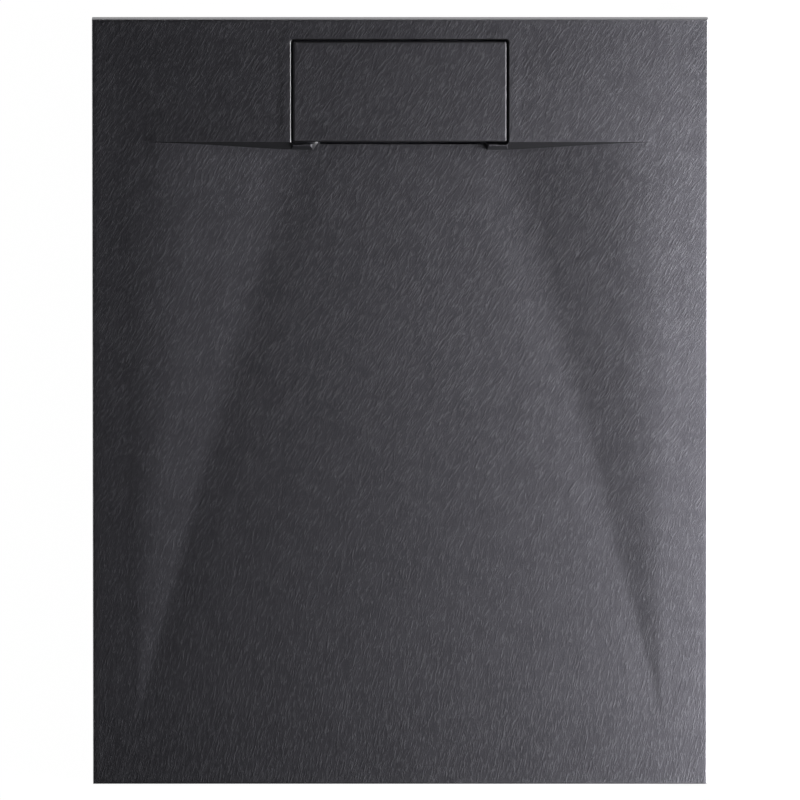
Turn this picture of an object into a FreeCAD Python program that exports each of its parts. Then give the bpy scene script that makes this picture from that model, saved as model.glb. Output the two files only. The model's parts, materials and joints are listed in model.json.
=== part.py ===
"""Shower tray cast in one solid, with a flush drain cover and a 90 mm waste trap.

Millimetres, +Z up. The origin is the centre of the tray's underside, which rests on the bed.
+Y points to the back ledge that holds the drain, +X to the right of someone who faces it.
"""

import FreeCAD
import Part

import math
import os

Vector = FreeCAD.Vector
UP = Vector(0, 0, 1)
FORWARD = Vector(0, -1, 0)

# Tray outline
TRAY_WIDTH = 800.0
TRAY_LENGTH = 1000.0
TRAY_HEIGHT = 35.0
RIM_ROUND = 2.0

# Basin: one cross-section at the step, drawn in to a point at each front corner
LEDGE_DEPTH = 160.0
BASIN_DEPTH = 11.2
FRONT_BAND = 88.0
TIP_INSET = 58.0
VALLEY_HALF_WIDTH = 141.0
VALLEY_BLEND = 22.0
SLOPE_RUN = 167.0
CREST_BLEND = 50.0

# Drain pocket and its cover
COVER_WIDTH = 277.0
COVER_LENGTH = 130.5
COVER_THICKNESS = 5.0
COVER_CORNER = 2.5
COVER_EDGE_ROUND = 2.0
COVER_GAP = 3.0
COVER_BACK_INSET = 29.5
OPENING_CHAMFER = 1.0
SEAT_WIDTH = 10.5
PAD_HEIGHT = 1.5
PAD_WIDTH = 6.0
PAD_LENGTH = 12.0
PAD_SIDE_INSET = 1.0
PAD_END_INSET = 2.0
PADS_PER_SIDE = 3
COVER_RIB_DEPTH = 4.0
COVER_RIB_WIDTH = 3.0
COVER_RIB_COUNT = 5
COVER_RIB_PITCH = 40.0
COVER_RIB_MARGIN = 18.0
POCKET_FLOOR_Z = 14.0
POCKET_DRAFT = 6.0
POCKET_CORNER = 16.0

# Inlet under the front edge of the cover, between two lips
INLET_HALF_WIDTH = 116.0
INLET_FOOT_IN = 10.5
INLET_FOOT_FRONT_IN = 3.0
LIP_BAND = 2.3
LIP_RUN = 5.8
LIP_CORNER = 3.0
LIP_ROOT = 2.5

# Waste: the hole in the tray and what is clamped in it
WASTE_HOLE_RADIUS = 45.0
FLANGE_RADIUS = 56.0
FLANGE_THICKNESS = 3.0
SEAT_RECESS_DEPTH = 4.0
SEAT_CLEARANCE = 1.5
TRAP_RECESS_DEPTH = 2.5
TRAP_RECESS_MARGIN = 4.5
FLANGE_GASKET_THICKNESS = 1.5
TRAP_GASKET_THICKNESS = 3.0
GASKET_BORE_MARGIN = 1.0
SLEEVE_RADIUS = 41.7
SLEEVE_WALL = 3.2
SLEEVE_ENGAGEMENT = 13.5
SLEEVE_LEDGE_DROP = 7.0
SLEEVE_LEDGE_WIDTH = 3.0
KEY_SLOT_COUNT = 4
KEY_SLOT_WIDTH = 6.0
KEY_SLOT_DEPTH = 2.2
KEY_SLOT_LENGTH = 7.0

# Strainer basket
STRAINER_SHEET = 1.0
STRAINER_RIM_RADIUS = 43.0
STRAINER_WALL_RADIUS = 35.0
STRAINER_DEPTH = 7.0
STRAINER_SLOT_COUNT = 18
STRAINER_SLOT_WIDTH = 2.5
STRAINER_SLOT_LENGTH = 18.0
STRAINER_SLOT_START = 12.0
KNOB_RADIUS = 7.0
KNOB_HEIGHT = 7.0
KNOB_STEM_RADIUS = 3.0
KNOB_STEM_HEIGHT = 3.5

# Trap housing
HOUSING_DEPTH = 80.0
HOUSING_WALL = 2.5
HOUSING_FLANGE_THICKNESS = 5.0
THREAD_CLEARANCE = 0.3
GUSSET_COUNT = 6
GUSSET_WIDTH = 2.5
GUSSET_HEIGHT = 14.0
WALL_OVERLAP = 1.0

# Dip tube, its seal and the cup
DIP_TUBE_RADIUS = 24.0
DIP_TUBE_WALL = 2.0
DIP_TUBE_DROP = 66.0
DIP_FLANGE_THICKNESS = 2.4
DIP_FLANGE_CLEARANCE = 0.6
SEAL_HEIGHT = 1.8
SEAL_WIDTH = 2.4
SEAL_CLEARANCE = 0.05
GRIP_WIDTH = 5.0
GRIP_RISE = 3.0
CUP_RADIUS = 33.0
CUP_WALL = 2.0
CUP_RIM_DROP = 20.0
CUP_GAP_UNDER_TUBE = 6.0
CUP_HANGER_COUNT = 3
CUP_HANGER_ANGLE = 26.0

# Outlet
OUTLET_AXIS_DROP = 48.0
OUTLET_PIPE_RADIUS = 20.0
OUTLET_PIPE_WALL = 2.0
OUTLET_CLEARANCE = 0.4
SOCKET_RADIUS = 24.0
SOCKET_LENGTH = 24.0
SOCKET_TAPER_DEPTH = 4.0
SOCKET_LIP = 0.8
WASHER_COLLAR = 3.0
SLIP_RING_LENGTH = 2.0
NUT_RADIUS = 28.0
NUT_LENGTH = 28.0
NUT_END_WALL = 3.0
NUT_LUG_COUNT = 6
NUT_LUG_HEIGHT = 2.5
NUT_LUG_WIDTH = 6.0
PIPE_INSERTION = 16.0
PIPE_NECK = 12.0
PIPE_TAPER = 6.0
SPIGOT_RADIUS = 25.0
SPIGOT_LENGTH = 50.0

# Places worked out from the sizes above
STEP_Y = TRAY_LENGTH / 2 - LEDGE_DEPTH
TIP_Y = -TRAY_LENGTH / 2 + FRONT_BAND
TIP_X = TRAY_WIDTH / 2 - TIP_INSET
FLOOR_Z = TRAY_HEIGHT - BASIN_DEPTH
COVER_BACK_Y = TRAY_LENGTH / 2 - COVER_BACK_INSET
COVER_FRONT_Y = COVER_BACK_Y - COVER_LENGTH
COVER_BOTTOM_Z = TRAY_HEIGHT - COVER_THICKNESS
OPENING_FRONT_Y = COVER_FRONT_Y - COVER_GAP
OPENING_BACK_Y = COVER_BACK_Y + COVER_GAP
OPENING_HALF_WIDTH = COVER_WIDTH / 2 + COVER_GAP
POCKET_SEAT_Z = COVER_BOTTOM_Z - PAD_HEIGHT
POCKET_CENTRE_Y = (OPENING_FRONT_Y + OPENING_BACK_Y) / 2
WASTE_SEAT_Z = POCKET_FLOOR_Z - SEAT_RECESS_DEPTH
CLAMP_RADIUS = FLANGE_RADIUS + SEAT_CLEARANCE
FLANGE_BOTTOM_Z = WASTE_SEAT_Z + FLANGE_GASKET_THICKNESS
FLANGE_TOP_Z = FLANGE_BOTTOM_Z + FLANGE_THICKNESS
HOUSING_TOP_Z = TRAP_RECESS_DEPTH - TRAP_GASKET_THICKNESS
HOUSING_BOTTOM_Z = HOUSING_TOP_Z - HOUSING_DEPTH
SLEEVE_BORE = SLEEVE_RADIUS - SLEEVE_WALL
SLEEVE_BOTTOM_Z = HOUSING_TOP_Z - SLEEVE_ENGAGEMENT
SLEEVE_LEDGE_Z = HOUSING_TOP_Z - SLEEVE_LEDGE_DROP
CHAMBER_RADIUS = SLEEVE_RADIUS + THREAD_CLEARANCE
DIP_TUBE_BOTTOM_Z = HOUSING_TOP_Z - DIP_TUBE_DROP
DIP_FLANGE_BOTTOM_Z = SLEEVE_LEDGE_Z + SEAL_HEIGHT
DIP_FLANGE_TOP_Z = DIP_FLANGE_BOTTOM_Z + DIP_FLANGE_THICKNESS
DIP_FLANGE_RADIUS = SLEEVE_BORE - DIP_FLANGE_CLEARANCE
CUP_RIM_Z = HOUSING_TOP_Z - CUP_RIM_DROP
CUP_BOTTOM_Z = DIP_TUBE_BOTTOM_Z - CUP_GAP_UNDER_TUBE - CUP_WALL
OUTLET_AXIS_Z = HOUSING_TOP_Z - OUTLET_AXIS_DROP
SOCKET_END_Y = POCKET_CENTRE_Y - CHAMBER_RADIUS - HOUSING_WALL - SOCKET_LENGTH
SOCKET_BORE = OUTLET_PIPE_RADIUS + OUTLET_CLEARANCE
WASTE_CENTRE = Vector(0, POCKET_CENTRE_Y, 0)
OUTLET_END = Vector(0, SOCKET_END_Y, OUTLET_AXIS_Z)


def polygon_face(points):
    """A flat face through points."""
    return Part.Face(Part.makePolygon(list(points) + [points[0]]))


def rounded_rectangle(half_width, y_low, y_high, radius, z):
    """A closed wire at height z, symmetric in X."""
    x0, x1 = -half_width, half_width
    bulge = radius * (1 - math.sqrt(0.5))
    corners = (
        (x1, y_low, -1, 1),
        (x1, y_high, -1, -1),
        (x0, y_high, 1, -1),
        (x0, y_low, 1, 1),
    )
    starts, middles, ends = [], [], []
    for index, (x, y, to_x, to_y) in enumerate(corners):
        along_x = Vector(x + to_x * radius, y, z)
        along_y = Vector(x, y + to_y * radius, z)
        middles.append(Vector(x + to_x * bulge, y + to_y * bulge, z))
        starts.append(along_x if index % 2 == 0 else along_y)
        ends.append(along_y if index % 2 == 0 else along_x)
    edges = []
    for index in range(4):
        edges.append(Part.Arc(starts[index], middles[index], ends[index]).toShape())
        edges.append(Part.makeLine(ends[index], starts[(index + 1) % 4]))
    return Part.Wire(edges)


def turned(points, centre, axis=UP):
    """A solid of revolution. points are (radius, place along the axis)."""
    if axis == UP:
        section = [Vector(centre.x + r, centre.y, centre.z + t) for r, t in points]
    else:
        section = [Vector(centre.x + r, centre.y + t * axis.y, centre.z) for r, t in points]
    return polygon_face(section).revolve(centre, axis, 360)


def mirrored(shape):
    """The shape's copy on the other side of the middle plane."""
    return shape.mirror(Vector(0, 0, 0), Vector(1, 0, 0))


def crease(before, corner, after, blend):
    """Start, middle and end of the arc that rounds a corner over blend mm each way."""
    towards_start = (before - corner).normalize()
    towards_end = (after - corner).normalize()
    start = corner + towards_start * blend
    end = corner + towards_end * blend
    half_angle = towards_start.getAngle(towards_end) / 2
    radius = blend * math.tan(half_angle)
    inward = (towards_start + towards_end).normalize()
    middle = corner + inward * (radius / math.sin(half_angle) - radius)
    return start, middle, end


def basin_side():
    """Right flank of the basin: its cross-section at the step, drawn in to the front tip."""
    inner_x = VALLEY_HALF_WIDTH - VALLEY_BLEND
    crest_x = VALLEY_HALF_WIDTH + SLOPE_RUN
    above = Vector(inner_x, STEP_Y, TRAY_HEIGHT)
    inner = Vector(inner_x, STEP_Y, FLOOR_Z)
    valley = Vector(VALLEY_HALF_WIDTH, STEP_Y, FLOOR_Z)
    crest = Vector(crest_x, STEP_Y, TRAY_HEIGHT)
    rim = Vector(crest_x + CREST_BLEND, STEP_Y, TRAY_HEIGHT)
    valley_start, valley_middle, valley_end = crease(inner, valley, crest, VALLEY_BLEND)
    crest_start, crest_middle, crest_end = crease(valley, crest, rim, CREST_BLEND)
    section = Part.Wire(
        [
            Part.makeLine(above, valley_start),
            Part.Arc(valley_start, valley_middle, valley_end).toShape(),
            Part.makeLine(valley_end, crest_start),
            Part.Arc(crest_start, crest_middle, crest_end).toShape(),
            Part.makeLine(crest_end, above),
        ]
    )
    tip = Part.Vertex(TIP_X, TIP_Y, TRAY_HEIGHT)
    return Part.makeLoft([section, tip], True, True)


def basin_middle():
    """Flat middle of the basin, from the step up to the line between the two tips."""
    half = VALLEY_HALF_WIDTH - VALLEY_BLEND
    left_top = Vector(-half, STEP_Y, TRAY_HEIGHT)
    right_top = Vector(half, STEP_Y, TRAY_HEIGHT)
    left_low = Vector(-half, STEP_Y, FLOOR_Z)
    right_low = Vector(half, STEP_Y, FLOOR_Z)
    left_tip = Vector(-TIP_X, TIP_Y, TRAY_HEIGHT)
    right_tip = Vector(TIP_X, TIP_Y, TRAY_HEIGHT)
    faces = [
        polygon_face([left_top, right_top, right_low, left_low]),
        polygon_face([left_top, left_tip, right_tip, right_top]),
        polygon_face([left_low, right_low, right_tip, left_tip]),
        polygon_face([left_top, left_low, left_tip]),
        polygon_face([right_top, right_tip, right_low]),
    ]
    return Part.makeSolid(Part.makeShell(faces))


def step_wedge():
    """What stays of the ledge behind the sloped step wall, right of the inlet."""
    reach = TRAY_HEIGHT
    section = polygon_face(
        [
            Vector(INLET_HALF_WIDTH, STEP_Y, TRAY_HEIGHT),
            Vector(INLET_HALF_WIDTH, STEP_Y - reach, TRAY_HEIGHT - reach),
            Vector(INLET_HALF_WIDTH, STEP_Y, TRAY_HEIGHT - reach),
        ]
    )
    return section.extrude(Vector(TRAY_WIDTH / 2 - INLET_HALF_WIDTH, 0, 0))


def inlet_lip():
    """The lip in front of the cover's right corner, with the flared end wall of the inlet."""
    outer_x = OPENING_HALF_WIDTH
    inner_x = INLET_HALF_WIDTH
    front_y = OPENING_FRONT_Y - LIP_BAND
    foot_z = FLOOR_Z - LIP_ROOT
    slant = (TRAY_HEIGHT - foot_z) / BASIN_DEPTH
    top = Part.makePolygon(
        [
            Vector(outer_x, STEP_Y, TRAY_HEIGHT),
            Vector(outer_x - LIP_CORNER, front_y, TRAY_HEIGHT),
            Vector(inner_x, front_y, TRAY_HEIGHT),
            Vector(inner_x, STEP_Y, TRAY_HEIGHT),
            Vector(outer_x, STEP_Y, TRAY_HEIGHT),
        ]
    )
    foot = Part.makePolygon(
        [
            Vector(outer_x, STEP_Y, foot_z),
            Vector(outer_x, front_y - LIP_RUN * slant, foot_z),
            Vector(inner_x - INLET_FOOT_FRONT_IN * slant, front_y - LIP_RUN * slant, foot_z),
            Vector(inner_x - INLET_FOOT_IN * slant, STEP_Y, foot_z),
            Vector(outer_x, STEP_Y, foot_z),
        ]
    )
    return Part.makeLoft([top, foot], True, True)


def basin():
    """Everything above the sloping floor, in front of the step and its lips."""
    flank = basin_side()
    whole = basin_middle().fuse([flank, mirrored(flank)]).removeSplitter()
    kept = [step_wedge(), inlet_lip()]
    kept = kept + [mirrored(piece) for piece in kept]
    return whole.cut(kept)


def opening_outline(grow, z):
    """Outline of the pocket's opening at height z, larger by grow all round."""
    return rounded_rectangle(
        OPENING_HALF_WIDTH + grow,
        OPENING_FRONT_Y - grow,
        OPENING_BACK_Y + grow,
        COVER_CORNER + COVER_GAP / 2 + grow,
        z,
    )


def pocket_seat_part():
    """The pocket above the seat that the cover's pads rest on."""
    outline = opening_outline(0, POCKET_SEAT_Z)
    return Part.Face(outline).extrude(Vector(0, 0, TRAY_HEIGHT - POCKET_SEAT_Z))


def opening_chamfer():
    """The broken edge round the top of the opening."""
    lower = opening_outline(0, TRAY_HEIGHT - OPENING_CHAMFER)
    upper = opening_outline(OPENING_CHAMFER, TRAY_HEIGHT)
    return Part.makeLoft([lower, upper], True, True)


def pocket_well():
    """The drafted well of the pocket, down to its floor."""
    half = OPENING_HALF_WIDTH - SEAT_WIDTH
    front = OPENING_FRONT_Y + SEAT_WIDTH
    back = OPENING_BACK_Y - SEAT_WIDTH
    upper = rounded_rectangle(half, front, back, POCKET_CORNER, POCKET_SEAT_Z)
    lower = rounded_rectangle(
        half - POCKET_DRAFT,
        front + POCKET_DRAFT,
        back - POCKET_DRAFT,
        POCKET_CORNER,
        POCKET_FLOOR_Z,
    )
    return Part.makeLoft([upper, lower], True, True)


def inlet_channel():
    """The sill that carries the basin's floor under the cover and into the well."""
    half_top = INLET_HALF_WIDTH
    half_foot = INLET_HALF_WIDTH - INLET_FOOT_IN
    y_low = OPENING_FRONT_Y
    y_high = OPENING_FRONT_Y + SEAT_WIDTH + POCKET_DRAFT
    section = polygon_face(
        [
            Vector(-half_top, y_low, TRAY_HEIGHT),
            Vector(-half_foot, y_low, FLOOR_Z),
            Vector(half_foot, y_low, FLOOR_Z),
            Vector(half_top, y_low, TRAY_HEIGHT),
        ]
    )
    return section.extrude(Vector(0, y_high - y_low, 0))


def waste_bores():
    """Hole for the waste, a seat for its flange above and a recess for the trap below."""
    seat = Part.makeCylinder(CLAMP_RADIUS, TRAY_HEIGHT, WASTE_CENTRE + UP * WASTE_SEAT_Z)
    hole = Part.makeCylinder(WASTE_HOLE_RADIUS, TRAY_HEIGHT, WASTE_CENTRE)
    recess = Part.makeCylinder(
        CLAMP_RADIUS + TRAP_RECESS_MARGIN, TRAP_RECESS_DEPTH, WASTE_CENTRE
    )
    return [seat, hole, recess]


def make_tray():
    """The cast tray: a solid slab with its basin, drain pocket and waste hole."""
    corner = Vector(-TRAY_WIDTH / 2, -TRAY_LENGTH / 2, 0)
    block = Part.makeBox(TRAY_WIDTH, TRAY_LENGTH, TRAY_HEIGHT, corner)
    top_edges = [e for e in block.Edges if all(v.Z == TRAY_HEIGHT for v in e.Vertexes)]
    block = block.makeFillet(RIM_ROUND, top_edges)
    cuts = [basin(), pocket_seat_part(), opening_chamfer(), pocket_well(), inlet_channel()]
    return block.cut(cuts + waste_bores())


def make_drain_cover():
    """The loose cover: a plate with rounded edges and ribs along the flow beneath."""
    outline = rounded_rectangle(
        COVER_WIDTH / 2, COVER_FRONT_Y, COVER_BACK_Y, COVER_CORNER, COVER_BOTTOM_Z
    )
    plate = Part.Face(outline).extrude(Vector(0, 0, COVER_THICKNESS))
    top_edges = [e for e in plate.Edges if all(v.Z > TRAY_HEIGHT - 0.001 for v in e.Vertexes)]
    plate = plate.makeFillet(COVER_EDGE_ROUND, top_edges)
    ribs = []
    first = -COVER_RIB_PITCH * (COVER_RIB_COUNT - 1) / 2
    y_low = COVER_FRONT_Y + COVER_RIB_MARGIN
    y_high = COVER_BACK_Y - COVER_RIB_MARGIN
    foot_z = COVER_BOTTOM_Z - COVER_RIB_DEPTH
    for index in range(COVER_RIB_COUNT):
        x = first + index * COVER_RIB_PITCH - COVER_RIB_WIDTH / 2
        side = polygon_face(
            [
                Vector(x, y_low, COVER_BOTTOM_Z),
                Vector(x, y_high, COVER_BOTTOM_Z),
                Vector(x, y_high - COVER_RIB_DEPTH, foot_z),
                Vector(x, y_low + COVER_RIB_DEPTH, foot_z),
            ]
        )
        ribs.append(side.extrude(Vector(COVER_RIB_WIDTH, 0, 0)))
    return plate.fuse(ribs)


def make_cover_pads():
    """Rubber pads between the cover's side edges and the seat of the pocket."""
    pads = []
    x_low = COVER_WIDTH / 2 - PAD_SIDE_INSET - PAD_WIDTH
    first = COVER_FRONT_Y + PAD_END_INSET
    last = COVER_BACK_Y - PAD_END_INSET - PAD_LENGTH
    for index in range(PADS_PER_SIDE):
        y_low = first + (last - first) * index / (PADS_PER_SIDE - 1)
        pad = Part.makeBox(PAD_WIDTH, PAD_LENGTH, PAD_HEIGHT, Vector(x_low, y_low, POCKET_SEAT_Z))
        pads.extend([pad, mirrored(pad)])
    return Part.makeCompound(pads)


def make_flange_gasket():
    """Thin flat gasket under the clamp flange."""
    bore = WASTE_HOLE_RADIUS + GASKET_BORE_MARGIN
    section = [
        (bore, WASTE_SEAT_Z),
        (FLANGE_RADIUS, WASTE_SEAT_Z),
        (FLANGE_RADIUS, FLANGE_BOTTOM_Z),
        (bore, FLANGE_BOTTOM_Z),
    ]
    return turned(section, WASTE_CENTRE)


def make_clamp_flange():
    """Flange and threaded sleeve in one piece, with key slots and a ledge for the dip tube."""
    ledge_bore = SLEEVE_BORE - SLEEVE_LEDGE_WIDTH
    section = [
        (SLEEVE_BORE, FLANGE_TOP_Z),
        (SLEEVE_BORE, SLEEVE_LEDGE_Z),
        (ledge_bore, SLEEVE_LEDGE_Z),
        (ledge_bore, SLEEVE_BOTTOM_Z),
        (SLEEVE_RADIUS, SLEEVE_BOTTOM_Z),
        (SLEEVE_RADIUS, FLANGE_BOTTOM_Z),
        (FLANGE_RADIUS, FLANGE_BOTTOM_Z),
        (FLANGE_RADIUS, FLANGE_TOP_Z),
    ]
    flange = turned(section, WASTE_CENTRE)
    slots = []
    for index in range(KEY_SLOT_COUNT):
        slot = Part.makeBox(
            SLEEVE_BORE + KEY_SLOT_DEPTH,
            KEY_SLOT_WIDTH,
            KEY_SLOT_LENGTH,
            WASTE_CENTRE + Vector(0, -KEY_SLOT_WIDTH / 2, FLANGE_TOP_Z - KEY_SLOT_LENGTH),
        )
        slot.rotate(WASTE_CENTRE, UP, 360 / KEY_SLOT_COUNT * (index + 0.5))
        slots.append(slot)
    return flange.cut(slots)


def make_hair_strainer():
    """Pressed basket with a star of slots in its floor."""
    bottom = FLANGE_TOP_Z - STRAINER_DEPTH
    section = [
        (0, bottom),
        (STRAINER_WALL_RADIUS, bottom),
        (STRAINER_WALL_RADIUS, FLANGE_TOP_Z),
        (STRAINER_RIM_RADIUS, FLANGE_TOP_Z),
        (STRAINER_RIM_RADIUS, FLANGE_TOP_Z + STRAINER_SHEET),
        (STRAINER_WALL_RADIUS - STRAINER_SHEET, FLANGE_TOP_Z + STRAINER_SHEET),
        (STRAINER_WALL_RADIUS - STRAINER_SHEET, bottom + STRAINER_SHEET),
        (0, bottom + STRAINER_SHEET),
    ]
    basket = turned(section, WASTE_CENTRE)
    slots = []
    for index in range(STRAINER_SLOT_COUNT):
        slot = Part.makeBox(
            STRAINER_SLOT_LENGTH,
            STRAINER_SLOT_WIDTH,
            3 * STRAINER_SHEET,
            WASTE_CENTRE
            + Vector(STRAINER_SLOT_START, -STRAINER_SLOT_WIDTH / 2, bottom - STRAINER_SHEET),
        )
        slot.rotate(WASTE_CENTRE, UP, 360 / STRAINER_SLOT_COUNT * index)
        slots.append(slot)
    return basket.cut(slots)


def make_strainer_knob():
    """Knob that lifts the strainer."""
    base = FLANGE_TOP_Z - STRAINER_DEPTH + STRAINER_SHEET
    section = [
        (0, base),
        (KNOB_STEM_RADIUS, base),
        (KNOB_STEM_RADIUS, base + KNOB_STEM_HEIGHT),
        (KNOB_RADIUS, base + KNOB_STEM_HEIGHT),
        (KNOB_RADIUS, base + KNOB_HEIGHT),
        (0, base + KNOB_HEIGHT),
    ]
    return turned(section, WASTE_CENTRE)


def make_trap_gasket():
    """Thick gasket between the tray's underside and the trap housing."""
    bore = WASTE_HOLE_RADIUS + GASKET_BORE_MARGIN
    section = [
        (bore, HOUSING_TOP_Z),
        (CLAMP_RADIUS, HOUSING_TOP_Z),
        (CLAMP_RADIUS, TRAP_RECESS_DEPTH),
        (bore, TRAP_RECESS_DEPTH),
    ]
    return turned(section, WASTE_CENTRE)


def make_trap_housing():
    """Housing: a chamber with a gusseted flange and the side socket of the outlet."""
    flange_bottom = HOUSING_TOP_Z - HOUSING_FLANGE_THICKNESS
    chamber_outer = CHAMBER_RADIUS + HOUSING_WALL
    floor = HOUSING_BOTTOM_Z + HOUSING_WALL
    section = [
        (CHAMBER_RADIUS, HOUSING_TOP_Z),
        (CHAMBER_RADIUS, floor),
        (0, floor),
        (0, HOUSING_BOTTOM_Z),
        (chamber_outer, HOUSING_BOTTOM_Z),
        (chamber_outer, flange_bottom),
        (CLAMP_RADIUS, flange_bottom),
        (CLAMP_RADIUS, HOUSING_TOP_Z),
    ]
    housing = turned(section, WASTE_CENTRE)
    additions = []
    for index in range(GUSSET_COUNT):
        gusset = polygon_face(
            [
                Vector(chamber_outer - WALL_OVERLAP, 0, flange_bottom - GUSSET_HEIGHT),
                Vector(chamber_outer, 0, flange_bottom - GUSSET_HEIGHT),
                Vector(CLAMP_RADIUS - WALL_OVERLAP, 0, flange_bottom),
                Vector(chamber_outer - WALL_OVERLAP, 0, flange_bottom),
            ]
        ).extrude(Vector(0, GUSSET_WIDTH, 0))
        gusset.translate(WASTE_CENTRE + Vector(0, -GUSSET_WIDTH / 2, 0))
        gusset.rotate(WASTE_CENTRE, UP, 360 / GUSSET_COUNT * (index + 0.5))
        additions.append(gusset)
    inside = Part.makeCylinder(
        CHAMBER_RADIUS, HOUSING_DEPTH, Vector(0, POCKET_CENTRE_Y, HOUSING_BOTTOM_Z)
    )
    socket_start = Vector(0, POCKET_CENTRE_Y, OUTLET_AXIS_Z)
    socket_length = POCKET_CENTRE_Y - SOCKET_END_Y
    socket = Part.makeCylinder(SOCKET_RADIUS, socket_length, socket_start, FORWARD)
    additions.append(socket.cut(inside))
    channel = turned(
        [
            (0, -socket_length),
            (SOCKET_BORE, -socket_length),
            (SOCKET_BORE, -SOCKET_TAPER_DEPTH),
            (SOCKET_RADIUS - SOCKET_LIP, 0),
            (0, 0),
        ],
        OUTLET_END,
        FORWARD,
    )
    return housing.fuse(additions).cut(channel)


def make_dip_tube():
    """Removable dip tube: a flange at the top, and a grip across its mouth."""
    tube_bore = DIP_TUBE_RADIUS - DIP_TUBE_WALL
    section = [
        (tube_bore, DIP_TUBE_BOTTOM_Z),
        (DIP_TUBE_RADIUS, DIP_TUBE_BOTTOM_Z),
        (DIP_TUBE_RADIUS, DIP_FLANGE_BOTTOM_Z),
        (DIP_FLANGE_RADIUS, DIP_FLANGE_BOTTOM_Z),
        (DIP_FLANGE_RADIUS, DIP_FLANGE_TOP_Z),
        (tube_bore, DIP_FLANGE_TOP_Z),
    ]
    tube = turned(section, WASTE_CENTRE)
    half = DIP_TUBE_RADIUS
    slant = 2 * GRIP_RISE
    grip_top = DIP_FLANGE_TOP_Z + GRIP_RISE
    grip = polygon_face(
        [
            Vector(-half, 0, DIP_FLANGE_BOTTOM_Z),
            Vector(half, 0, DIP_FLANGE_BOTTOM_Z),
            Vector(half, 0, DIP_FLANGE_TOP_Z),
            Vector(half - slant, 0, grip_top),
            Vector(-half + slant, 0, grip_top),
            Vector(-half, 0, DIP_FLANGE_TOP_Z),
        ]
    ).extrude(Vector(0, GRIP_WIDTH, 0))
    grip.translate(WASTE_CENTRE + Vector(0, -GRIP_WIDTH / 2, 0))
    return tube.fuse([grip])


def make_dip_tube_seal():
    """Seal ring under the dip tube's flange, on the ledge of the sleeve."""
    outer = SLEEVE_BORE - SEAL_CLEARANCE
    section = [
        (outer - SEAL_WIDTH, SLEEVE_LEDGE_Z),
        (outer, SLEEVE_LEDGE_Z),
        (outer, DIP_FLANGE_BOTTOM_Z),
        (outer - SEAL_WIDTH, DIP_FLANGE_BOTTOM_Z),
    ]
    return turned(section, WASTE_CENTRE)


def make_trap_cup():
    """Cup that holds the water seal, hung from the dip tube's flange on three hangers."""
    section = [
        (0, CUP_BOTTOM_Z),
        (CUP_RADIUS, CUP_BOTTOM_Z),
        (CUP_RADIUS, DIP_FLANGE_BOTTOM_Z),
        (CUP_RADIUS - CUP_WALL, DIP_FLANGE_BOTTOM_Z),
        (CUP_RADIUS - CUP_WALL, CUP_BOTTOM_Z + CUP_WALL),
        (0, CUP_BOTTOM_Z + CUP_WALL),
    ]
    cup = turned(section, WASTE_CENTRE)
    window_angle = 360 / CUP_HANGER_COUNT - CUP_HANGER_ANGLE
    windows = []
    for index in range(CUP_HANGER_COUNT):
        window = Part.makeCylinder(
            CUP_RADIUS + CUP_WALL,
            DIP_FLANGE_BOTTOM_Z - CUP_RIM_Z,
            WASTE_CENTRE + Vector(0, 0, CUP_RIM_Z),
            UP,
            window_angle,
        )
        window.rotate(WASTE_CENTRE, UP, 90 + CUP_HANGER_ANGLE / 2 + 360 / CUP_HANGER_COUNT * index)
        windows.append(window)
    return cup.cut(windows)


def make_outlet_nut():
    """Union nut with grip lugs. Its end wall presses the slip ring."""
    seat = WASHER_COLLAR + SLIP_RING_LENGTH
    bore = SOCKET_RADIUS + THREAD_CLEARANCE
    section = [
        (bore, seat - NUT_LENGTH + NUT_END_WALL),
        (bore, seat),
        (SOCKET_BORE, seat),
        (SOCKET_BORE, seat + NUT_END_WALL),
        (NUT_RADIUS, seat + NUT_END_WALL),
        (NUT_RADIUS, seat - NUT_LENGTH + NUT_END_WALL),
    ]
    nut = turned(section, OUTLET_END, FORWARD)
    lugs = []
    for index in range(NUT_LUG_COUNT):
        lug = Part.makeBox(
            NUT_LUG_WIDTH,
            NUT_LENGTH - NUT_END_WALL,
            NUT_LUG_HEIGHT + WALL_OVERLAP,
            OUTLET_END + Vector(-NUT_LUG_WIDTH / 2, -seat, NUT_RADIUS - WALL_OVERLAP),
        )
        lug.rotate(OUTLET_END, FORWARD, 360 / NUT_LUG_COUNT * (index + 0.5))
        lugs.append(lug)
    return nut.fuse(lugs)


def make_outlet_slip_ring():
    """Hard ring between the nut and the cone washer."""
    section = [
        (SOCKET_BORE, WASHER_COLLAR),
        (SOCKET_RADIUS, WASHER_COLLAR),
        (SOCKET_RADIUS, WASHER_COLLAR + SLIP_RING_LENGTH),
        (SOCKET_BORE, WASHER_COLLAR + SLIP_RING_LENGTH),
    ]
    return turned(section, OUTLET_END, FORWARD)


def make_outlet_cone_washer():
    """Rubber washer whose cone is pressed into the tapered mouth of the socket."""
    bore = OUTLET_PIPE_RADIUS + SEAL_CLEARANCE
    outer = SOCKET_RADIUS - SOCKET_LIP - SEAL_CLEARANCE
    section = [
        (bore, -SOCKET_TAPER_DEPTH),
        (outer, 0),
        (outer, WASHER_COLLAR),
        (bore, WASHER_COLLAR),
    ]
    return turned(section, OUTLET_END, FORWARD)


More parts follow.
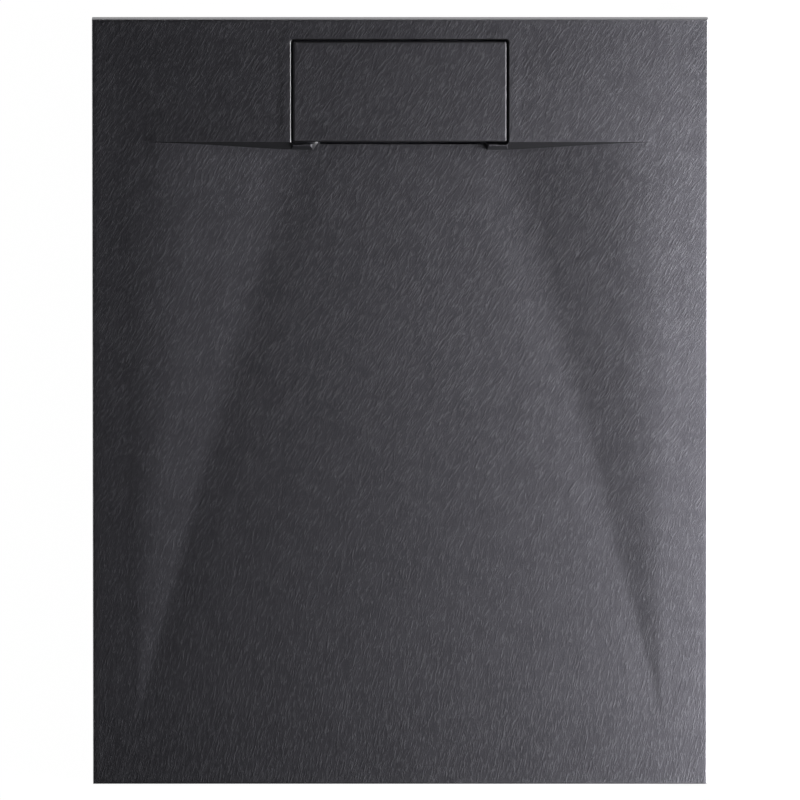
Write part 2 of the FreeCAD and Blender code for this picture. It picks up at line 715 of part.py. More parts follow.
def make_outlet_pipe():
    """Outlet pipe: its neck sits in the socket, and its wide end is the spigot of the drain."""
    narrow_bore = OUTLET_PIPE_RADIUS - OUTLET_PIPE_WALL
    wide_bore = SPIGOT_RADIUS - OUTLET_PIPE_WALL
    spigot_start = PIPE_NECK + PIPE_TAPER
    spigot_end = spigot_start + SPIGOT_LENGTH
    section = [
        (narrow_bore, -PIPE_INSERTION),
        (OUTLET_PIPE_RADIUS, -PIPE_INSERTION),
        (OUTLET_PIPE_RADIUS, PIPE_NECK),
        (SPIGOT_RADIUS, spigot_start),
        (SPIGOT_RADIUS, spigot_end),
        (wide_bore, spigot_end),
        (wide_bore, spigot_start),
        (narrow_bore, PIPE_NECK),
    ]
    return turned(section, OUTLET_END, FORWARD)


PIECES = {
    "tray": make_tray,
    "drain_cover": make_drain_cover,
    "cover_pads": make_cover_pads,
    "hair_strainer": make_hair_strainer,
    "strainer_knob": make_strainer_knob,
    "clamp_flange": make_clamp_flange,
    "flange_gasket": make_flange_gasket,
    "trap_gasket": make_trap_gasket,
    "trap_housing": make_trap_housing,
    "dip_tube": make_dip_tube,
    "dip_tube_seal": make_dip_tube_seal,
    "trap_cup": make_trap_cup,
    "outlet_nut": make_outlet_nut,
    "outlet_slip_ring": make_outlet_slip_ring,
    "outlet_cone_washer": make_outlet_cone_washer,
    "outlet_pipe": make_outlet_pipe,
}


def main():
    os.makedirs("parts", exist_ok=True)
    for name, make in PIECES.items():
        shape = make()
        if len(shape.Solids) == 1:
            shape = shape.Solids[0]
        shape.exportStep(f"parts/{name}.step")
        print(f"{name}: {len(shape.Solids)} solids, {round(shape.Volume)} mm3, valid {shape.isValid()}")


main()
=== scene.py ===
import json
import math

import bmesh
import bpy
import numpy as np
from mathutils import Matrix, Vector

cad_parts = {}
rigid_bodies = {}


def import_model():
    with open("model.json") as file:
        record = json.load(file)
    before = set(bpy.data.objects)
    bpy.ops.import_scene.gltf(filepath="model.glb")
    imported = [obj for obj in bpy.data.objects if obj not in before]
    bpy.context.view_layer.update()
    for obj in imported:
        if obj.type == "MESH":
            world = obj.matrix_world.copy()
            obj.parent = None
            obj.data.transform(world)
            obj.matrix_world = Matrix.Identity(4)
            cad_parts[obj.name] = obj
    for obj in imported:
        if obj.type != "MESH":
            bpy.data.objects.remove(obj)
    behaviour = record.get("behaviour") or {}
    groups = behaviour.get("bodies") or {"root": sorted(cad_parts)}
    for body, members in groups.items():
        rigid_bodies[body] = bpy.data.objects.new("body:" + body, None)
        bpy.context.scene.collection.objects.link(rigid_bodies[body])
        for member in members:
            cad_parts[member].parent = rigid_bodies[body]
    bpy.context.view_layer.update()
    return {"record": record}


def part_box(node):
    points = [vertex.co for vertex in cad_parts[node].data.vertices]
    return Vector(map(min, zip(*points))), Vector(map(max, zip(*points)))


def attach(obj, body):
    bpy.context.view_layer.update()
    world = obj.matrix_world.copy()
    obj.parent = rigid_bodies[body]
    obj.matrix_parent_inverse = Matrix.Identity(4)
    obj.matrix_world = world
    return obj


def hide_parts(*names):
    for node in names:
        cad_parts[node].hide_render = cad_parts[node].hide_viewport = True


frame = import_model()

# Lengths are metres, in the frame of the CAD model.
TRAY_LOW, TRAY_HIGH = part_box("tray")
COVER_LOW, COVER_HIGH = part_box("drain_cover")
TOP_Z = TRAY_HIGH[2]
MM = 0.001

# Basin, as the tray's solid has it
STEP_Y = TRAY_HIGH[1] - 160 * MM
TIP_X = TRAY_HIGH[0] - 58 * MM
TIP_Y = TRAY_LOW[1] + 88 * MM
BASIN_DEPTH = 11.2 * MM
VALLEY_HALF_WIDTH = 141 * MM
VALLEY_BLEND = 22 * MM
SLOPE_RUN = 167 * MM
CREST_BLEND = 50 * MM
SLOPE_ANGLE = math.atan2(BASIN_DEPTH, SLOPE_RUN)

# Where the relief stays off the sharp forms round the step, the lips and the opening
INLET_HALF_WIDTH = 104 * MM
SILL_END_Y = STEP_Y + 12.5 * MM
LIP_OUTER_X = 146 * MM
LIP_FOOT_Y = STEP_Y - 12 * MM
STEP_FOOT_Y = STEP_Y - 13 * MM
STEP_END_X = 316 * MM
OPENING_GAP = 4.5 * MM
FEATURE_MARGIN = 5 * MM
FEATURE_FADE = 12 * MM
EDGE_MARGIN = 2 * MM
EDGE_FADE = 16 * MM

# Water groove in the sill, just in front of the cover
GROOVE_HALF_LENGTH = 104.5 * MM
GROOVE_WIDTH = 4.0 * MM
GROOVE_DEPTH = 3.0 * MM

# Slate relief cut into the cast surfaces
GRID_STEP = 2.5 * MM
SKIN_DEPTH = 0.02 * MM
CREASE_SKIN_DEPTH = 0.25 * MM
CREASE_SKIN_FADE = 40 * MM
RELIEF_DEPTH = 0.04 * MM
CLEAR_OF_SKIN = 0.02 * MM
CLEAR_OF_FEATURES = 0.8 * MM
RELIEF_ANGLE = math.radians(62)
RELIEF_ACROSS = 9 * MM
RELIEF_ALONG = 42 * MM
WAVES_ACROSS = 2.5 * RELIEF_ACROSS
WAVES_ALONG = 1.4 * RELIEF_ALONG
FOLDS_SHARE = 0.65
WAVES_SHARE = 0.35
AIR_TOP = TOP_Z + 20 * MM
AIR_OVERHANG = 5 * MM
TRAY_SEED = 11
COVER_SEED = 23

# Shading: which faces count as flat, and which edges stay sharp
WELD_DISTANCE = 1e-6
SHARP_ANGLE = math.radians(32)
ROUNDING_BEND = math.radians(3)
LEVEL_Z = 0.996
UPRIGHT_Z = 0.004
STEP_NORMAL_Y = -0.6
STEP_NORMAL_Z = math.sqrt(0.5)

# Grain of the slate material. Scales are per metre.
GRAIN_ANGLE_BACK = math.radians(57)
GRAIN_ANGLE_FRONT = math.radians(76)
GRAIN_STRETCH = (1.0, 0.15, 1.0)
GRAIN_NOISE = {"detail": 4.0, "roughness": 0.68, "distortion": 0.6}
STEEP_SCALE = 520.0
SLANT_SCALE = 540.0
FOLD_SCALE = 130.0
GRIT_SCALE = 700.0
PATCH_SCALE = 38.0
PATCH_RANGE = (0.35, 0.65)
CREST_RANGE = (0.57, 0.725)
FLAKE_WEIGHT = 1.35
CREST_WEIGHT = 0.8
FOLD_WEIGHT = 0.25
GRIT_WEIGHT = 0.6
# How much painted highlight the grain's crests get
CREST_HIGHLIGHT_SHARE = 0.20
GRAIN_DEPTH = 0.46 * MM
TEXTURED_Z = (0.80, 0.97)
# Painted shade: faces turned this far to the front, and the lips' outer ends, take the very
# dark colour below
SHADE_FACING_Y = (-0.08, -0.40)
LIP_SHADE_INNER = (0.122, 0.130)
LIP_SHADE_OUTER = (0.210, 0.200)
SLATE_DARK = (0.0425, 0.0415, 0.048, 1.0)
SLATE_PALE = (0.047, 0.046, 0.053, 1.0)
# Pale colour painted on the grain's crests as a highlight
SLATE_CREST_HIGHLIGHT = (0.095, 0.093, 0.104, 1.0)
# Very dark colour painted as shade on the faces turned to the front and on the lips' outer
# ends
SLATE_PAINTED_SHADE = (0.007, 0.007, 0.008, 1.0)

# Floor, with a recess under the tray for the trap. Colours for the camera are plain white.
FLOOR_COLOUR = (0.8, 0.8, 0.8, 1.0)
FLOOR_GLOW = 1.1
FLOOR_GLOW_SHARE = 0.9
WHITE = (1, 1, 1, 1)
FLOOR_REACH = 30.0
FLOOR_DROP = 0.2 * MM
RECESS_MARGIN = 30 * MM
RECESS_DEPTH = 120 * MM

# Light
AMBIENT = 0.05
AMBIENT_COLOUR = (0.95, 0.97, 1.0, 1.0)
STRIP_PLACE = Vector((0.80, -0.09, 0.118))
STRIP_LENGTH = 1.3
STRIP_HEIGHT = 0.12
STRIP_POWER = 76.0
FILL_DISTANCE = 1.1
FILL_LENGTH = 1.2
FILL_HEIGHT = 0.03
FILL_POWER = 6.0
CARD_GAP = 0.03
CARD_OVERLAP = 0.04
CARD_HEIGHT = 0.0345
CARD_GLOW = 1.3

# Camera
CAMERA_DISTANCE = 24.0
CAMERA_TILT = math.radians(5.7)
CAMERA_TARGET = Vector((0.0001, 0.0031, 0.035))
CAMERA_LENS = 830.1
CAMERA_SENSOR = 36.0


# ---------------------------------------------------------------- shape of the slate pieces


def smoothstep(low, high, value):
    """0 below low, 1 above high, smooth between."""
    t = np.clip((value - low) / (high - low), 0.0, 1.0)
    return t * t * (3.0 - 2.0 * t)


def section_depth(x):
    """Depth of the basin's cross-section at the step, with its two rounded creases."""
    valley_radius = VALLEY_BLEND / math.tan(SLOPE_ANGLE / 2)
    crest_radius = CREST_BLEND / math.tan(SLOPE_ANGLE / 2)
    valley_start = VALLEY_HALF_WIDTH - VALLEY_BLEND
    valley_end = VALLEY_HALF_WIDTH + VALLEY_BLEND * math.cos(SLOPE_ANGLE)
    crest = VALLEY_HALF_WIDTH + SLOPE_RUN
    crest_start = crest - CREST_BLEND * math.cos(SLOPE_ANGLE)
    crest_end = crest + CREST_BLEND
    in_valley = np.clip(x - valley_start, 0.0, valley_end - valley_start)
    valley = BASIN_DEPTH - (valley_radius - np.sqrt(valley_radius ** 2 - in_valley ** 2))
    slope = (crest - x) * math.tan(SLOPE_ANGLE)
    in_crest = np.clip(crest_end - x, 0.0, crest_end - crest_start)
    rounded = crest_radius - np.sqrt(crest_radius ** 2 - in_crest ** 2)
    depth = np.where(x < valley_end, valley, slope)
    depth = np.where(x > crest_start, rounded, depth)
    return np.where(x > crest_end, 0.0, depth)


def on_cross_section(x, y):
    """How far the section is drawn out at y, and the place on it that x stands for."""
    share = np.clip((y - TIP_Y) / (STEP_Y - TIP_Y), 1e-6, None)
    return share, TIP_X - (TIP_X - np.abs(x)) / share


def basin_depth(x, y):
    """The cross-section drawn in to a point at each front tip."""
    share, on_section = on_cross_section(x, y)
    depth = share * section_depth(on_section)
    return np.where(y <= TIP_Y, 0.0, depth)


def crease_skin(x, y):
    """Depth taken off all over, more where the solid's mesh steps round the soft creases."""
    share, on_section = on_cross_section(x, y)
    inner = VALLEY_HALF_WIDTH - VALLEY_BLEND
    outer = VALLEY_HALF_WIDTH + SLOPE_RUN + CREST_BLEND
    outside = np.maximum(inner - on_section, on_section - outer) * share
    near = 1.0 - smoothstep(0.0, CREASE_SKIN_FADE, outside)
    near = near * smoothstep(0.0, CREASE_SKIN_FADE, y - TIP_Y)
    return SKIN_DEPTH + near * (CREASE_SKIN_DEPTH - SKIN_DEPTH)


def box_distance(x, y, x_low, x_high, y_low, y_high):
    """Distance in plan to a rectangle, zero inside."""
    dx = np.maximum(np.maximum(x_low - x, x - x_high), 0.0)
    dy = np.maximum(np.maximum(y_low - y, y - y_high), 0.0)
    return np.hypot(dx, dy)


def edge_fade(x, y, low, high):
    """0 at a piece's outline, 1 from a little way inside."""
    inside = np.minimum(
        np.minimum(x - low[0], high[0] - x), np.minimum(y - low[1], high[1] - y)
    )
    return smoothstep(EDGE_MARGIN, EDGE_MARGIN + EDGE_FADE, inside)


def tray_surface(x, y):
    """Height of the tray's top, the share of relief, the skin's depth and the clearance."""
    side = np.abs(x)
    depth = basin_depth(x, y)
    in_inlet = (side < INLET_HALF_WIDTH) & (y < SILL_END_Y)
    floor = TOP_Z - depth
    ledge = TOP_Z - np.minimum(depth, np.clip(STEP_Y - y, 0.0, None))
    lip = (side < LIP_OUTER_X) & (y > LIP_FOOT_Y)
    height = np.where(in_inlet, floor, np.where(lip, TOP_Z, ledge))
    from_step = box_distance(side, y, INLET_HALF_WIDTH, STEP_END_X, STEP_FOOT_Y, STEP_Y)
    from_opening = box_distance(
        side,
        y,
        0.0,
        COVER_HIGH[0] + OPENING_GAP,
        np.where(side < INLET_HALF_WIDTH, SILL_END_Y, COVER_LOW[1] - OPENING_GAP),
        COVER_HIGH[1] + OPENING_GAP,
    )
    away = np.minimum(from_step, from_opening)
    share = smoothstep(FEATURE_MARGIN, FEATURE_MARGIN + FEATURE_FADE, away)
    share = share * edge_fade(x, y, TRAY_LOW, TRAY_HIGH)
    raised = 1.0 - smoothstep(0.0, FEATURE_MARGIN, from_step)
    return height, share, crease_skin(x, y), CLEAR_OF_SKIN + raised * CLEAR_OF_FEATURES


def cover_surface(x, y):
    """The same four fields for the cover's top."""
    share = edge_fade(x, y, COVER_LOW, COVER_HIGH)
    even = np.ones_like(x)
    return TOP_Z * even, share, SKIN_DEPTH * even, CLEAR_OF_SKIN * even


def grain_noise(shape, seed, across, along, angle):
    """Smooth seeded noise drawn out along the grain, between about -1 and 1."""
    rows, columns = shape
    noise = np.random.default_rng(seed).standard_normal(shape)
    fy = np.fft.fftfreq(rows, GRID_STEP)[:, None]
    fx = np.fft.fftfreq(columns, GRID_STEP)[None, :]
    f_along = fx * math.cos(angle) + fy * math.sin(angle)
    f_across = -fx * math.sin(angle) + fy * math.cos(angle)
    spectrum = np.exp(-((f_along * along) ** 2 + (f_across * across) ** 2))
    field = np.real(np.fft.ifft2(np.fft.fft2(noise) * spectrum))
    return field / (2.0 * field.std())


def slate_relief(shape, seed):
    """0 on the ridges, 1 in the hollows."""
    folds = grain_noise(shape, seed, RELIEF_ACROSS, RELIEF_ALONG, RELIEF_ANGLE)
    waves = grain_noise(shape, seed + 1, WAVES_ACROSS, WAVES_ALONG, RELIEF_ANGLE)
    ridges = np.clip(np.abs(folds), 0.0, 1.0)
    return np.clip(FOLDS_SHARE * ridges + WAVES_SHARE * (0.5 + 0.5 * waves), 0.0, 1.0)


def air_block(name, low, high, surface, seed):
    """Closed block above a piece. Its lower side is the surface with the slate's relief."""
    columns = int(round((high[0] - low[0]) / GRID_STEP)) + 1
    rows = int(round((high[1] - low[1]) / GRID_STEP)) + 1
    xs = low[0] + GRID_STEP * np.arange(columns)
    ys = low[1] + GRID_STEP * np.arange(rows)
    x, y = np.meshgrid(xs, ys)
    height, share, skin, clearance = surface(x, y)
    cut = skin + RELIEF_DEPTH * slate_relief(x.shape, seed)
    z = height - share * cut + (1.0 - share) * clearance
    lower = np.column_stack([x.ravel(), y.ravel(), z.ravel()])
    index = np.arange(rows * columns).reshape(rows, columns)
    faces = np.stack(
        [index[:-1, :-1], index[1:, :-1], index[1:, 1:], index[:-1, 1:]], axis=-1
    ).reshape(-1, 4)
    rim = np.concatenate([index[0, :-1], index[:-1, -1], index[-1, :0:-1], index[:0:-1, 0]])
    upper = lower[rim].copy()
    upper[:, 2] = AIR_TOP
    first = rows * columns
    count = len(rim)
    walls = []
    for place in range(count):
        after = (place + 1) % count
        walls.append((int(rim[place]), int(rim[after]), first + after, first + place))
    polygons = faces.tolist() + walls + [list(range(first, first + count))]
    mesh = bpy.data.meshes.new(name)
    mesh.from_pydata(np.vstack([lower, upper]).tolist(), [], polygons)
    mesh.update()
    return bpy.data.objects.new(name, mesh)


def groove_block(name):
    """Cutter for the groove in the sill. It runs on a little under the cover's front edge."""
    front = COVER_LOW[1] - GROOVE_WIDTH
    back = COVER_LOW[1] + GROOVE_WIDTH / 2
    size = (2 * GROOVE_HALF_LENGTH, back - front, 2 * GROOVE_DEPTH)
    middle = (0.0, (front + back) / 2, TOP_Z - BASIN_DEPTH)
    mesh = bpy.data.meshes.new(name)
    bm = bmesh.new()
    bmesh.ops.create_cube(bm, size=1.0)
    bmesh.ops.scale(bm, vec=size, verts=bm.verts)
    bmesh.ops.translate(bm, vec=middle, verts=bm.verts)
    bm.to_mesh(mesh)
    bm.free()
    return bpy.data.objects.new(name, mesh)


def welded_copy(node, name):
    """The node's mesh with its split corners joined, as a new object."""
    mesh = bpy.data.objects[node].data.copy()
    bm = bmesh.new()
    bm.from_mesh(mesh)
    bmesh.ops.remove_doubles(bm, verts=bm.verts, dist=WELD_DISTANCE)
    bm.to_mesh(mesh)
    bm.free()
    return bpy.data.objects.new(name, mesh)


def is_flat(normal):
    """Whether a face is level, upright or part of the slanted step."""
    level = abs(normal.z) > LEVEL_Z or abs(normal.z) < UPRIGHT_Z
    return level or (normal.y < STEP_NORMAL_Y and abs(normal.z - STEP_NORMAL_Z) < UPRIGHT_Z)


def mark_sharp(mesh):
    """Smooth shading that keeps the flat faces flat beside their rounded edges."""
    bm = bmesh.new()
    bm.from_mesh(mesh)
    flat = [is_flat(face.normal) for face in bm.faces]
    for face in bm.faces:
        face.smooth = True
    for edge in bm.edges:
        if len(edge.link_faces) != 2:
            continue
        first, second = edge.link_faces
        bend = first.normal.angle(second.normal, 0.0)
        rounding = flat[first.index] != flat[second.index] and bend > ROUNDING_BEND
        edge.smooth = not (bend > SHARP_ANGLE or rounding)
    bm.to_mesh(mesh)
    bm.free()


def slate_piece(node, name, body, low, high, surface, seed, material, cuts=()):
    """A cast piece: the CAD solid with the slate's relief, and any other cuts, in its top."""
    piece = welded_copy(node, name + "_blank")
    blocks = [air_block(name + "_air", low, high, surface, seed), *cuts]
    for blank in [piece, *blocks]:
        bpy.context.scene.collection.objects.link(blank)
    for block in blocks:
        cutter = piece.modifiers.new(block.name, "BOOLEAN")
        cutter.operation = "DIFFERENCE"
        cutter.solver = "MANIFOLD"
        cutter.object = block
    graph = bpy.context.evaluated_depsgraph_get()
    mesh = bpy.data.meshes.new_from_object(piece.evaluated_get(graph))
    mesh.name = name
    for blank in [piece, *blocks]:
        bpy.data.objects.remove(blank)
    mesh.materials.clear()
    mesh.materials.append(material)
    mark_sharp(mesh)
    result = bpy.data.objects.new(name, mesh)
    bpy.context.scene.collection.objects.link(result)
    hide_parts(node)
    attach(result, body)


# ---------------------------------------------------------------- materials


class Nodes:
    """Short calls for building the node tree of a material or a world."""

    def __init__(self, owner):
        self.owner = owner
        owner.use_nodes = True
        self.tree = owner.node_tree
        self.tree.nodes.clear()

    def add(self, kind, inputs=None, **settings):
        node = self.tree.nodes.new(kind)
        for key, value in settings.items():
            setattr(node, key, value)
        for key, value in (inputs or {}).items():
            self.put(node.inputs[key], value)
        return node

    def put(self, socket, value):
        if isinstance(value, bpy.types.NodeSocket):
            self.tree.links.new(value, socket)
        else:
            socket.default_value = value

    def math(self, operation, a, b=0.0, clamp=False):
        return self.add(
            "ShaderNodeMath", {0: a, 1: b}, operation=operation, use_clamp=clamp
        ).outputs[0]

    def ramp(self, value, low, high, out_low=0.0, out_high=1.0):
        node = self.add(
            "ShaderNodeMapRange",
            {
                "Value": value,
                "From Min": low,
                "From Max": high,
                "To Min": out_low,
                "To Max": out_high,
            },
            interpolation_type="SMOOTHSTEP",
        )
        return node.outputs["Result"]

    def mix(self, factor, a, b):
        node = self.add("ShaderNodeMix", data_type="RGBA")
        self.put(node.inputs["Factor"], factor)
        self.put(node.inputs["A"], a)
        self.put(node.inputs["B"], b)
        return node.outputs["Result"]

    def coordinates(self, scale=(1, 1, 1), turn=0.0):
        source = self.add("ShaderNodeTexCoord").outputs["Object"]
        turned = self.add(
            "ShaderNodeVectorRotate",
            {"Vector": source, "Angle": turn},
            rotation_type="Z_AXIS",
        ).outputs["Vector"]
        return self.add(
            "ShaderNodeVectorMath", {0: turned, 1: scale}, operation="MULTIPLY"
        ).outputs["Vector"]

    def noise(self, vector, scale, detail=3.0, roughness=0.5, distortion=0.0, kind="FBM"):
        node = self.add(
            "ShaderNodeTexNoise",
            {
                "Vector": vector,
                "Scale": scale,
                "Detail": detail,
                "Roughness": roughness,
                "Distortion": distortion,
            },
            noise_type=kind,
        )
        return node.outputs[0]

    def bump(self, height, distance):
        inputs = {"Height": height, "Distance": distance, "Strength": 1.0}
        return self.add("ShaderNodeBump", inputs).outputs["Normal"]

    def surface(self, **inputs):
        shader = self.add("ShaderNodeBsdfPrincipled")
        for key, value in inputs.items():
            self.put(shader.inputs[key.replace("_", " ")], value)
        return self.output(shader.outputs[0])

    def output(self, shader, kind="ShaderNodeOutputMaterial"):
        self.add(kind, {"Surface": shader})
        return self.owner


def new_nodes(name):
    """An empty node tree in a new material."""
    return Nodes(bpy.data.materials.new(name))


def slate_grain(n, place, where):
    """Height of the grain, and where its crests get a pale painted highlight.

    Thin crests lie aslant at the back and steeper at the front, over soft folds and grit.
    """
    steep_place = n.coordinates(GRAIN_STRETCH, turn=math.pi / 2 - GRAIN_ANGLE_FRONT)
    slant_place = n.coordinates(GRAIN_STRETCH, turn=math.pi / 2 - GRAIN_ANGLE_BACK)
    patches = n.noise(place, PATCH_SCALE, 3.0)
    turning = n.math("ADD", where["Y"], n.math("MULTIPLY", patches, 0.5))
    to_front = n.ramp(turning, 0.35, -0.25, -0.05, 0.05)
    steep = n.math("ADD", n.noise(steep_place, STEEP_SCALE, **GRAIN_NOISE), to_front)
    slant = n.math("SUBTRACT", n.noise(slant_place, SLANT_SCALE, **GRAIN_NOISE), to_front)
    flakes = n.math("MAXIMUM", steep, slant)
    crests = n.ramp(flakes, *CREST_RANGE)
    folds = n.noise(slant_place, FOLD_SCALE, 3.0, 0.6, 0.8, kind="RIDGED_MULTIFRACTAL")
    grit = n.noise(place, GRIT_SCALE, 2.0)
    in_patches = n.ramp(patches, 0.35, 0.62, 0.85, 1.05)
    # The grain's depth and its painted crest highlight grow stronger towards the right, the
    # side the strip lamp lights
    share = n.math("MULTIPLY", in_patches, n.ramp(where["X"], -0.38, 0.20, 0.65, 1.25))
    height = n.math("MULTIPLY", flakes, FLAKE_WEIGHT)
    for field, weight in ((crests, CREST_WEIGHT), (folds, FOLD_WEIGHT), (grit, GRIT_WEIGHT)):
        height = n.math("ADD", height, n.math("MULTIPLY", field, weight))
    height = n.math("MULTIPLY", height, share)
    # Painted highlight: pale colour on the grain's crests, standing for the light on the
    # ridges
    crest_highlight = n.math("MULTIPLY", n.math("MULTIPLY", crests, share), CREST_HIGHLIGHT_SHARE)
    return height, crest_highlight, patches


def painted_shade_faces(n, facing, where, textured):
    """Mask of painted shade: faces turned to the front, such as the step's wall and the
    cover's front edge, and the outer ends of the lips.
    """
    # Faces turned to the front get painted shade
    front_face_shade = n.ramp(facing["Y"], *SHADE_FACING_Y)
    side = n.math("ABSOLUTE", where["X"])
    # The lips' outer ends get painted shade too
    lip_end_shade = n.math("MULTIPLY", n.ramp(side, *LIP_SHADE_INNER), n.ramp(side, *LIP_SHADE_OUTER))
    lip_end_shade = n.math("MULTIPLY", lip_end_shade, n.ramp(where["Y"], STEP_Y, STEP_Y - MM))
    lip_end_shade = n.math("MULTIPLY", lip_end_shade, n.math("SUBTRACT", 1.0, textured))
    return n.math("MAXIMUM", front_face_shade, lip_end_shade)


def slate_material():
    """Anthracite casting resin with a slate's wrinkled grain on its level faces, painted shade
    on faces turned to the front and on the lips' outer ends, and a painted highlight on the
    grain's crests.
    """
    n = new_nodes("slate")
    normal = n.add("ShaderNodeNewGeometry").outputs["Normal"]
    facing = n.add("ShaderNodeSeparateXYZ", {0: normal}).outputs
    textured = n.ramp(facing["Z"], *TEXTURED_Z)
    place = n.coordinates()
    where = n.add("ShaderNodeSeparateXYZ", {0: place}).outputs
    shaded = painted_shade_faces(n, facing, where, textured)
    height, crest_highlight, patches = slate_grain(n, place, where)
    relief = n.bump(n.math("MULTIPLY", height, textured), GRAIN_DEPTH)
    colour = n.mix(n.ramp(patches, *PATCH_RANGE), SLATE_DARK, SLATE_PALE)
    # Painted highlight on the grain's crests
    colour = n.mix(crest_highlight, colour, SLATE_CREST_HIGHLIGHT)
    # Painted shade: a far darker colour on faces turned to the front and on the lips' outer
    # ends
    colour = n.mix(shaded, colour, SLATE_PAINTED_SHADE)
    rough = n.ramp(textured, 0.0, 1.0, 0.40, 0.68)
    shine = n.ramp(textured, 0.0, 1.0, 0.30, 0.05)
    shine = n.math("SUBTRACT", shine, n.math("MULTIPLY", shaded, 0.22), clamp=True)
    return n.surface(
        Base_Color=colour, Roughness=rough, Normal=relief, Specular_IOR_Level=shine
    )


def moulded_material(name, colour, roughness, variation=0.12, grain=900.0):
    """Moulded plastic or rubber: slight mottling and a fine matt grain."""
    n = new_nodes(name)
    place = n.coordinates()
    mottle = n.noise(place, 45.0, 3.0)
    low = tuple(c * (1.0 - variation) for c in colour) + (1.0,)
    high = tuple(min(c * (1.0 + variation), 1.0) for c in colour) + (1.0,)
    tint = n.mix(n.ramp(mottle, 0.3, 0.7), low, high)
    rough = n.ramp(mottle, 0.3, 0.7, roughness - 0.05, roughness + 0.05)
    bumps = n.bump(n.noise(place, grain, 2.0), 0.02 * MM)
    return n.surface(Base_Color=tint, Roughness=rough, Normal=bumps)


def steel_material():
    """Brushed stainless sheet: fine lines one way, with a faint haze."""
    n = new_nodes("strainer_steel")
    lines = n.noise(n.coordinates((1.0, 0.03, 1.0)), 2600.0, 2.0)
    haze = n.noise(n.coordinates(), 60.0, 3.0)
    colour = n.mix(n.ramp(haze, 0.3, 0.7), (0.50, 0.50, 0.49, 1.0), (0.60, 0.60, 0.60, 1.0))
    rough = n.ramp(lines, 0.3, 0.7, 0.24, 0.38)
    brushed = n.bump(lines, 0.01 * MM)
    return n.surface(Base_Color=colour, Metallic=1.0, Roughness=rough, Normal=brushed)


# ---------------------------------------------------------------- stage, light and camera


def make_stage():
    """Plain pale floor with a boxed recess under the tray for its trap."""
    low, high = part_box("trap_housing")
    pipe_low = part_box("outlet_pipe")[0]
    x0, x1 = low[0] - RECESS_MARGIN, high[0] + RECESS_MARGIN
    y0, y1 = pipe_low[1] - RECESS_MARGIN, high[1] + RECESS_MARGIN
    far = FLOOR_REACH
    corners = [(-far, -far), (far, -far), (far, far), (-far, far)]
    inner = [(x0, y0), (x1, y0), (x1, y1), (x0, y1)]
    points = [(x, y, -FLOOR_DROP) for x, y in corners + inner]
    points += [(x, y, -RECESS_DEPTH) for x, y in inner]
    faces = []
    for index in range(4):
        after = (index + 1) % 4
        faces.append((index, after, 4 + after, 4 + index))
        faces.append((4 + index, 4 + after, 8 + after, 8 + index))
    faces.append((8, 9, 10, 11))
    mesh = bpy.data.meshes.new("floor")
    mesh.from_pydata(points, [], faces)
    mesh.materials.append(floor_material())
    floor = bpy.data.objects.new("floor", mesh)
    bpy.context.scene.collection.objects.link(floor)


def floor_material():
    """Pale floor. The camera and clear reflections see it white, apart from its shadows."""
    n = new_nodes("floor")
    path = n.add("ShaderNodeLightPath").outputs
    seen = n.math("MAXIMUM", path["Is Camera Ray"], path["Is Glossy Ray"])
    seen = n.math("MAXIMUM", seen, path["Is Transmission Ray"])
    diffuse = n.add("ShaderNodeBsdfDiffuse", {"Color": FLOOR_COLOUR}).outputs[0]
    glow = n.add("ShaderNodeEmission", {"Color": WHITE, "Strength": FLOOR_GLOW}).outputs[0]
    share = n.math("MULTIPLY", seen, FLOOR_GLOW_SHARE)
    shader = n.add("ShaderNodeMixShader", {0: share, 1: diffuse, 2: glow})
    return n.output(shader.outputs[0])


def make_world():
    """Weak even light. The camera and clear reflections see plain white."""
    world = bpy.data.worlds.new("studio")
    n = Nodes(world)
    path = n.add("ShaderNodeLightPath").outputs
    seen = n.math("MAXIMUM", path["Is Camera Ray"], path["Is Transmission Ray"])
    seen = n.math("MAXIMUM", seen, path["Is Glossy Ray"])
    ambient = {"Color": AMBIENT_COLOUR, "Strength": AMBIENT}
    white = {"Color": WHITE, "Strength": 1.0}
    ambient = n.add("ShaderNodeBackground", ambient).outputs[0]
    white = n.add("ShaderNodeBackground", white).outputs[0]
    mixed = n.add("ShaderNodeMixShader", {0: seen, 1: ambient, 2: white})
    n.output(mixed.outputs[0], "ShaderNodeOutputWorld")
    bpy.context.scene.world = world


def add_area_light(name, place, aim, width, height, power):
    """A soft rectangular lamp that faces aim."""
    data = bpy.data.lights.new(name, "AREA")
    data.shape = "RECTANGLE"
    data.size = width
    data.size_y = height
    data.energy = power
    lamp = bpy.data.objects.new(name, data)
    lamp.location = place
    lamp.rotation_euler = (Vector(aim) - Vector(place)).to_track_quat("-Z", "Y").to_euler()
    lamp.visible_camera = False
    bpy.context.scene.collection.objects.link(lamp)


def make_lights():
    """A long low softbox on the right, and three as low as the tray on the other sides."""
    aim = STRIP_PLACE + Vector((-1, 0, 0))
    add_area_light("strip", STRIP_PLACE, aim, STRIP_LENGTH, STRIP_HEIGHT, STRIP_POWER)
    height = FILL_HEIGHT / 2
    for name, x, y in (("fill_left", -1, 0), ("fill_front", 0, -1), ("fill_back", 0, 1)):
        place = Vector((x * FILL_DISTANCE, y * FILL_DISTANCE, height))
        aim = Vector((0, 0, height))
        add_area_light(name, place, aim, FILL_LENGTH, FILL_HEIGHT, FILL_POWER)


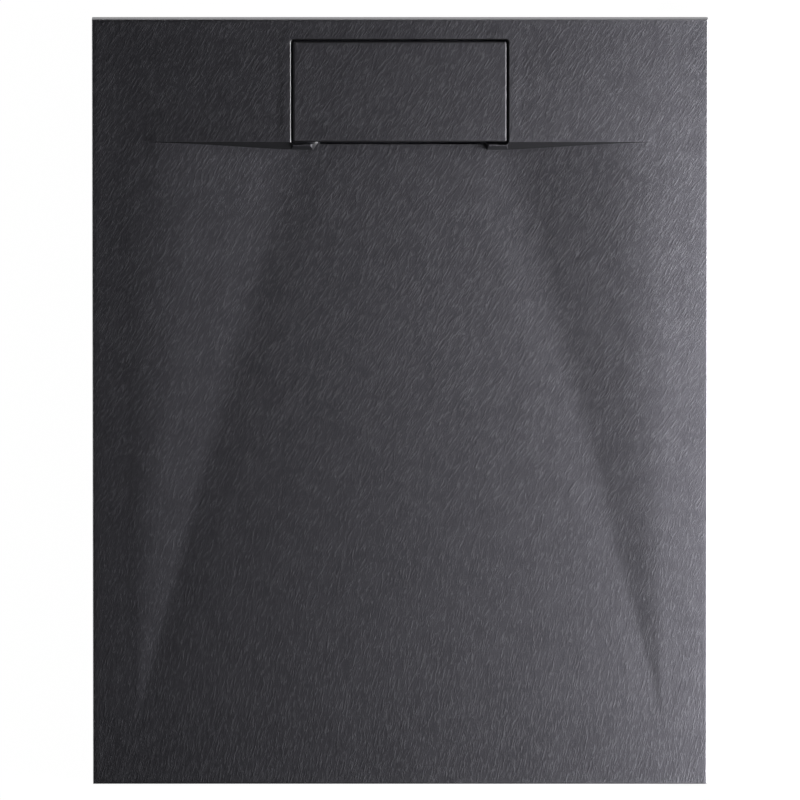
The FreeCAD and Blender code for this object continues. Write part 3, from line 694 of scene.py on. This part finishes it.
def make_side_card():
    """Low glowing card that keeps the strip off the tray's right side and lights that side."""
    x = TRAY_HIGH[0] + CARD_GAP
    y0, y1 = TRAY_LOW[1] - CARD_OVERLAP, TRAY_HIGH[1] + CARD_OVERLAP
    points = [(x, y0, 0.0), (x, y1, 0.0), (x, y1, CARD_HEIGHT), (x, y0, CARD_HEIGHT)]
    mesh = bpy.data.meshes.new("side_card")
    mesh.from_pydata(points, [], [(0, 1, 2, 3)])
    n = new_nodes("side_card")
    glow = n.add("ShaderNodeEmission", {"Color": WHITE, "Strength": CARD_GLOW}).outputs[0]
    mesh.materials.append(n.output(glow))
    card = bpy.data.objects.new("side_card", mesh)
    card.visible_camera = False
    bpy.context.scene.collection.objects.link(card)


def make_camera():
    """The photograph's view: from above, tilted a little to the back."""
    data = bpy.data.cameras.new("camera")
    data.lens = CAMERA_LENS
    data.sensor_width = CAMERA_SENSOR
    data.clip_end = 4 * CAMERA_DISTANCE
    camera = bpy.data.objects.new("camera", data)
    away = Vector((0, math.sin(CAMERA_TILT), math.cos(CAMERA_TILT)))
    camera.location = CAMERA_TARGET + away * CAMERA_DISTANCE
    camera.rotation_euler = (-CAMERA_TILT, 0, 0)
    bpy.context.scene.collection.objects.link(camera)
    bpy.context.scene.camera = camera


# ---------------------------------------------------------------- the scene


def dress_nodes():
    """A finish for every node that keeps its CAD shape."""
    finishes = {
        "pad_rubber": moulded_material("pad_rubber", (0.02, 0.02, 0.02), 0.75),
        "strainer_steel": steel_material(),
        "trap_plastic": moulded_material("trap_plastic", (0.60, 0.60, 0.58), 0.42, 0.03),
        "insert_plastic": moulded_material("insert_plastic", (0.12, 0.12, 0.13), 0.40, 0.08),
        "seal_rubber": moulded_material("seal_rubber", (0.03, 0.03, 0.03), 0.70),
    }
    for subpart in frame["record"]["subparts"]:
        finish = finishes.get(subpart["material_slot"])
        if finish is None:
            continue
        mesh = bpy.data.objects[subpart["node"]].data
        mesh.materials.clear()
        mesh.materials.append(finish)


def make_slate_pieces():
    """The tray and its cover."""
    slate = slate_material()
    margin = Vector((AIR_OVERHANG, AIR_OVERHANG, 0))
    slate_piece(
        "tray",
        "slate_tray",
        "tray",
        Vector(TRAY_LOW) - margin,
        Vector(TRAY_HIGH) + margin,
        tray_surface,
        TRAY_SEED,
        slate,
        [groove_block("sill_groove")],
    )
    slate_piece(
        "drain_cover",
        "slate_cover",
        "cover",
        Vector(COVER_LOW) - margin,
        Vector(COVER_HIGH) + margin,
        cover_surface,
        COVER_SEED,
        slate,
    )


make_camera()
make_stage()
make_world()
make_lights()
make_side_card()
make_slate_pieces()
dress_nodes()
bpy.context.scene.view_settings.view_transform = "Standard"
